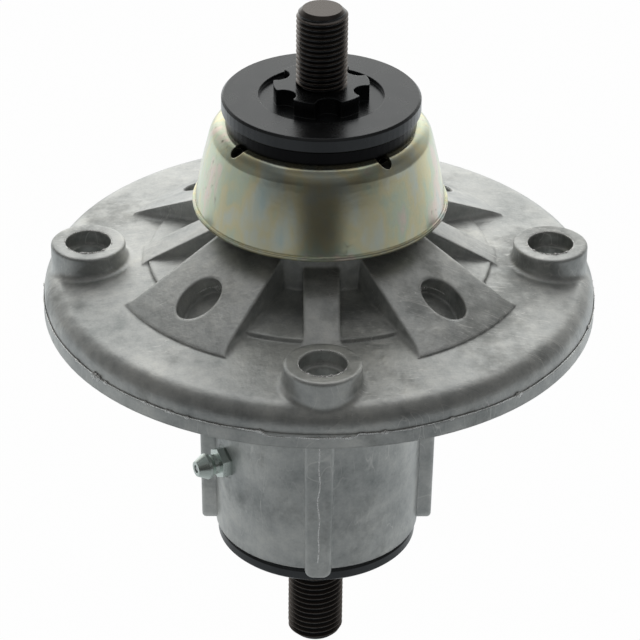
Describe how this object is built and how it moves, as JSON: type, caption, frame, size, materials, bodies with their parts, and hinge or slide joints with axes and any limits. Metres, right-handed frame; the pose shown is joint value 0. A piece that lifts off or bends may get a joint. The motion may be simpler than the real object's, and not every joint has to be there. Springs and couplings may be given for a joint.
{
  "type": "blade spindle hub",
  "caption": "Cast flanged hub that carries a mower blade shaft on two sealed bearings, with a star drive, dust cup, slinger, threaded studs and a grease nipple.",
  "frame": {"origin": "on the shaft's axis, in the plane of the flange face that seats on the mower deck", "axes": "+Z along the shaft towards the blade; the bolt bosses lie on +X, -X, +Y and -Y"},
  "size_m": [0.133, 0.133, 0.176],
  "materials": {
    "cast_aluminium": "as-cast, mottled grey",
    "black_oxide_steel": "oiled black oxide",
    "yellow_zinc": "yellow passivated zinc",
    "bright_zinc": "bright zinc",
    "bearing_steel": "ground",
    "spring_steel": "phosphated",
    "cage_plastic": "moulded",
    "seal_rubber": "moulded"
  },
  "bodies": {
    "housing_body": {"housing": "cast_aluminium", "grease_nipple": "bright_zinc", "nipple_spring": "spring_steel", "retaining_ring": "spring_steel", "blade_bearing_outer_ring": "bearing_steel", "blade_bearing_lower_seal": "seal_rubber", "blade_bearing_upper_seal": "seal_rubber", "pulley_bearing_outer_ring": "bearing_steel", "pulley_bearing_lower_seal": "seal_rubber", "pulley_bearing_upper_seal": "seal_rubber"},
    "spindle_body": {"spindle_shaft": "black_oxide_steel", "dust_cup": "yellow_zinc", "slinger": "black_oxide_steel", "bearing_spacer": "bearing_steel", "blade_bearing_inner_ring": "bearing_steel", "pulley_bearing_inner_ring": "bearing_steel"},
    "blade_ball_set": {"blade_bearing_balls": "bearing_steel", "blade_bearing_cage": "cage_plastic"},
    "pulley_ball_set": {"pulley_bearing_balls": "bearing_steel", "pulley_bearing_cage": "cage_plastic"},
    "check_ball": {"nipple_ball": "bearing_steel"}
  },
  "joints": [
    {"name": "spindle_spin", "type": "hinge", "parent": "housing_body", "child": "spindle_body", "pos_m": [0, 0, 0], "axis": [0, 0, 1], "continuous": true},
    {"name": "blade_ball_spin", "type": "hinge", "parent": "housing_body", "child": "blade_ball_set", "pos_m": [0, 0, 0], "axis": [0, 0, 1], "continuous": true},
    {"name": "pulley_ball_spin", "type": "hinge", "parent": "housing_body", "child": "pulley_ball_set", "pos_m": [0, 0, 0], "axis": [0, 0, 1], "continuous": true},
    {"name": "check_ball_slide", "type": "slide", "parent": "housing_body", "child": "check_ball", "axis": [0.891, 0.454, 0], "range_m": [0, 0.0008], "stiffness_N_per_m": 300, "springref_m": -0.001, "deforming": ["nipple_spring"]}
  ],
  "couplings": [
    {"joint": "blade_ball_spin", "follows": "spindle_spin", "ratio": 0.38163},
    {"joint": "pulley_ball_spin", "follows": "spindle_spin", "ratio": 0.38163}
  ]
}
